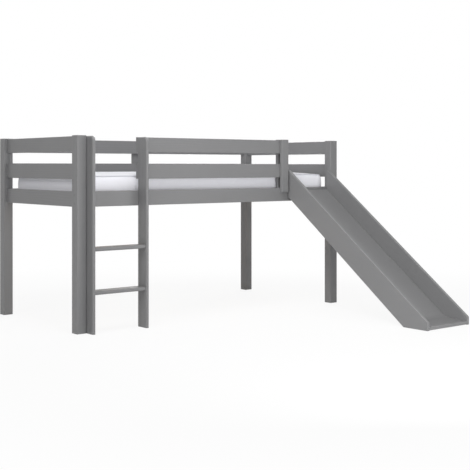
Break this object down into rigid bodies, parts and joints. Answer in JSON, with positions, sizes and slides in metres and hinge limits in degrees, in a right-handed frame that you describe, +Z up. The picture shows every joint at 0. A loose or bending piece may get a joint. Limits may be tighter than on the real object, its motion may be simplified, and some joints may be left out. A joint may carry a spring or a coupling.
{
  "type": "loft bed with slide",
  "caption": "Mid-height children's bed of grey lacquered boards with guard rails, an upright ladder and a straight slide hung on the side rail, with slats and a mattress.",
  "frame": {"origin": "on the floor, under the middle of the whole object's box, bed and slide together", "axes": "+X along the bed from the ladder end to the slide end, +Y from the slide's foot towards the back of the bed, +Z up"},
  "size_m": [2.106, 2.2002, 1.148],
  "materials": {
    "grey_lacquered_wood": "satin lacquer with a faint grain",
    "slide_panel": "smooth satin lacquer",
    "plain_pine": "planed, untreated",
    "beech": "plain",
    "zinc_plated_steel": "zinc plated",
    "grey_coated_steel": "matt grey coating",
    "grey_plastic": "matt",
    "white_ticking": "soft woven cover"
  },
  "bodies": {
    "bed_frame": {"back_guard_batten": "grey_lacquered_wood", "back_guard_lower_rail": "grey_lacquered_wood", "back_guard_top_rail": "grey_lacquered_wood", "back_side_rail": "grey_lacquered_wood", "back_slat_ledge": "grey_lacquered_wood", "barrel_nuts": "zinc_plated_steel", "bed_bolts": "zinc_plated_steel", "bolt_caps": "grey_plastic", "end_rail_dowels": "beech", "front_guard_lower_rail": "grey_lacquered_wood", "front_guard_top_rail": "grey_lacquered_wood", "front_side_rail": "grey_lacquered_wood", "front_slat_ledge": "grey_lacquered_wood", "guard_bolts": "zinc_plated_steel", "ladder_bolts": "zinc_plated_steel", "ladder_left_board": "grey_lacquered_wood", "ladder_right_board": "grey_lacquered_wood", "ladder_screws": "grey_coated_steel", "ladder_step_1": "grey_lacquered_wood", "ladder_step_2": "grey_lacquered_wood", "left_end_lower_rail": "grey_lacquered_wood", "left_end_middle_rail": "grey_lacquered_wood", "left_end_top_rail": "grey_lacquered_wood", "post_back_left": "grey_lacquered_wood", "post_back_right": "grey_lacquered_wood", "post_front_left": "grey_lacquered_wood", "post_front_right": "grey_lacquered_wood", "right_end_lower_rail": "grey_lacquered_wood", "right_end_middle_rail": "grey_lacquered_wood", "right_end_top_rail": "grey_lacquered_wood", "slat_01": "plain_pine", "slat_02": "plain_pine", "slat_03": "plain_pine", "slat_04": "plain_pine", "slat_05": "plain_pine", "slat_06": "plain_pine", "slat_07": "plain_pine", "slat_08": "plain_pine", "slat_09": "plain_pine", "slat_10": "plain_pine", "slat_11": "plain_pine", "slat_12": "plain_pine", "slat_13": "plain_pine", "slat_14": "plain_pine", "slat_15": "plain_pine", "slat_screws": "zinc_plated_steel", "slide_side_inner_batten": "grey_lacquered_wood", "slide_side_outer_batten": "grey_lacquered_wood"},
    "slide": {"slide_floor": "slide_panel", "slide_hooks": "grey_coated_steel", "slide_left_board": "grey_lacquered_wood", "slide_lip": "grey_lacquered_wood", "slide_lower_bars": "grey_lacquered_wood", "slide_right_board": "grey_lacquered_wood", "slide_screws": "grey_coated_steel", "slide_top_bar": "grey_lacquered_wood", "hook_screws": "zinc_plated_steel"},
    "mattress": {"mattress": "white_ticking"}
  },
  "joints": [
    {"name": "slide_lift", "type": "slide", "parent": "bed_frame", "child": "slide", "axis": [0, 0, 1], "range_m": [0, 0.06]},
    {"name": "mattress_lift", "type": "slide", "parent": "bed_frame", "child": "mattress", "axis": [0, 0, 1], "range_m": [0, 0.3]}
  ]
}
